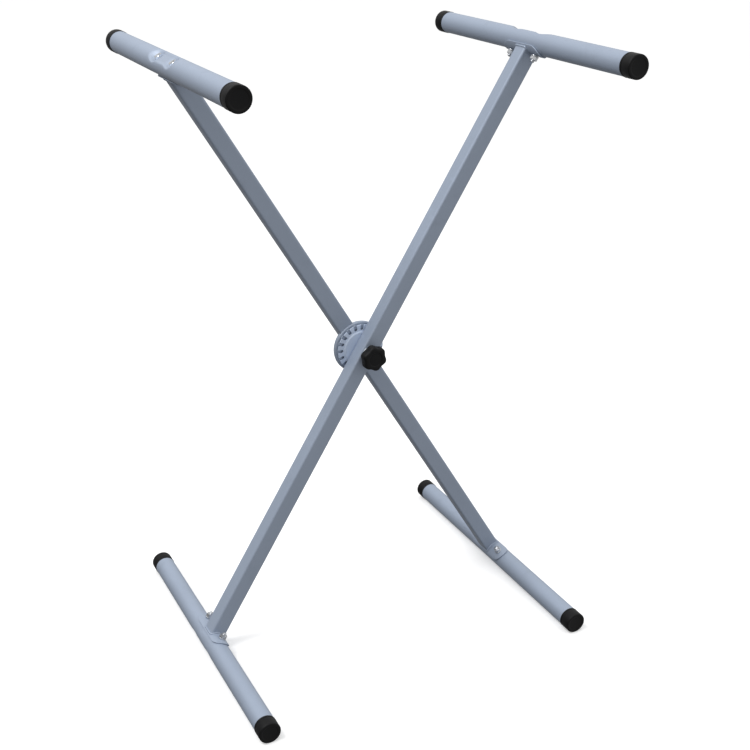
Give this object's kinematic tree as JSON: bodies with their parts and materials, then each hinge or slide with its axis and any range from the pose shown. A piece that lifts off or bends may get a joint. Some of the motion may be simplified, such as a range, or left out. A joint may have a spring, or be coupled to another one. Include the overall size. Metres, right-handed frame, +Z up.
{
  "type": "keyboard stand",
  "caption": "Folding x-style keyboard stand: crossed square legs on a toothed clutch with a lobed knob, and round tubes with plastic end caps across their ends",
  "frame": {"origin": "on the floor below the clutch's axis, midway between the two legs, which is the centre of the bounding box's bottom", "axes": "+Z up, +X to the right seen from the knob's side, +Y away from the knob along the clutch's axis"},
  "size_m": [0.567, 0.525, 0.9036],
  "materials": {
    "silver_paint": "satin silver-grey powder coat",
    "black_plastic": "moulded black plastic with a fine grain",
    "bright_zinc": "bright zinc plate",
    "spring_steel": "blued spring steel",
    "natural_nylon": "natural nylon"
  },
  "bodies": {
    "rear_frame": {"rear_leg": "silver_paint", "rear_arm_tube": "silver_paint", "rear_arm_saddle": "silver_paint", "rear_arm_cap_front": "black_plastic", "rear_arm_cap_back": "black_plastic", "rear_arm_bolt_front": "bright_zinc", "rear_arm_bolt_back": "bright_zinc", "rear_arm_washer_front": "bright_zinc", "rear_arm_washer_back": "bright_zinc", "rear_arm_nut_front": "bright_zinc", "rear_arm_nut_back": "bright_zinc", "rear_foot_tube": "silver_paint", "rear_foot_saddle": "silver_paint", "rear_foot_cap_front": "black_plastic", "rear_foot_cap_back": "black_plastic", "rear_foot_bolt_front": "bright_zinc", "rear_foot_bolt_back": "bright_zinc", "rear_foot_washer_front": "bright_zinc", "rear_foot_washer_back": "bright_zinc", "rear_foot_nut_front": "bright_zinc", "rear_foot_nut_back": "bright_zinc", "rear_clutch_disc": "silver_paint", "release_spring": "spring_steel", "pivot_bolt": "bright_zinc", "rear_leg_sleeve": "bright_zinc"},
    "release_carriage": {"pivot_bush": "natural_nylon", "thrust_washer": "bright_zinc"},
    "front_frame": {"front_leg": "silver_paint", "front_arm_tube": "silver_paint", "front_arm_saddle": "silver_paint", "front_arm_cap_front": "black_plastic", "front_arm_cap_back": "black_plastic", "front_arm_bolt_front": "bright_zinc", "front_arm_bolt_back": "bright_zinc", "front_arm_washer_front": "bright_zinc", "front_arm_washer_back": "bright_zinc", "front_arm_nut_front": "bright_zinc", "front_arm_nut_back": "bright_zinc", "front_foot_tube": "silver_paint", "front_foot_saddle": "silver_paint", "front_foot_cap_front": "black_plastic", "front_foot_cap_back": "black_plastic", "front_foot_bolt_front": "bright_zinc", "front_foot_bolt_back": "bright_zinc", "front_foot_washer_front": "bright_zinc", "front_foot_washer_back": "bright_zinc", "front_foot_nut_front": "bright_zinc", "front_foot_nut_back": "bright_zinc", "front_clutch_disc": "silver_paint"},
    "knob": {"clutch_knob": "black_plastic", "knob_insert": "bright_zinc"}
  },
  "joints": [
    {"name": "clutch_slide", "type": "slide", "parent": "rear_frame", "child": "release_carriage", "axis": [0, 1, 0], "range_m": [0, 0.0022]},
    {"name": "fold", "type": "hinge", "parent": "release_carriage", "child": "front_frame", "pos_m": [0, 0, 0.45222], "axis": [0, 1, 0], "range_deg": [-56.84, 37.89]},
    {"name": "knob_turn", "type": "hinge", "parent": "release_carriage", "child": "knob", "pos_m": [0, 0, 0.45222], "axis": [0, 1, 0], "range_deg": [0, 633.7]}
  ],
  "couplings": [
    {"joint": "knob_turn", "follows": "clutch_slide", "rad_per_m": 5026.5}
  ]
}
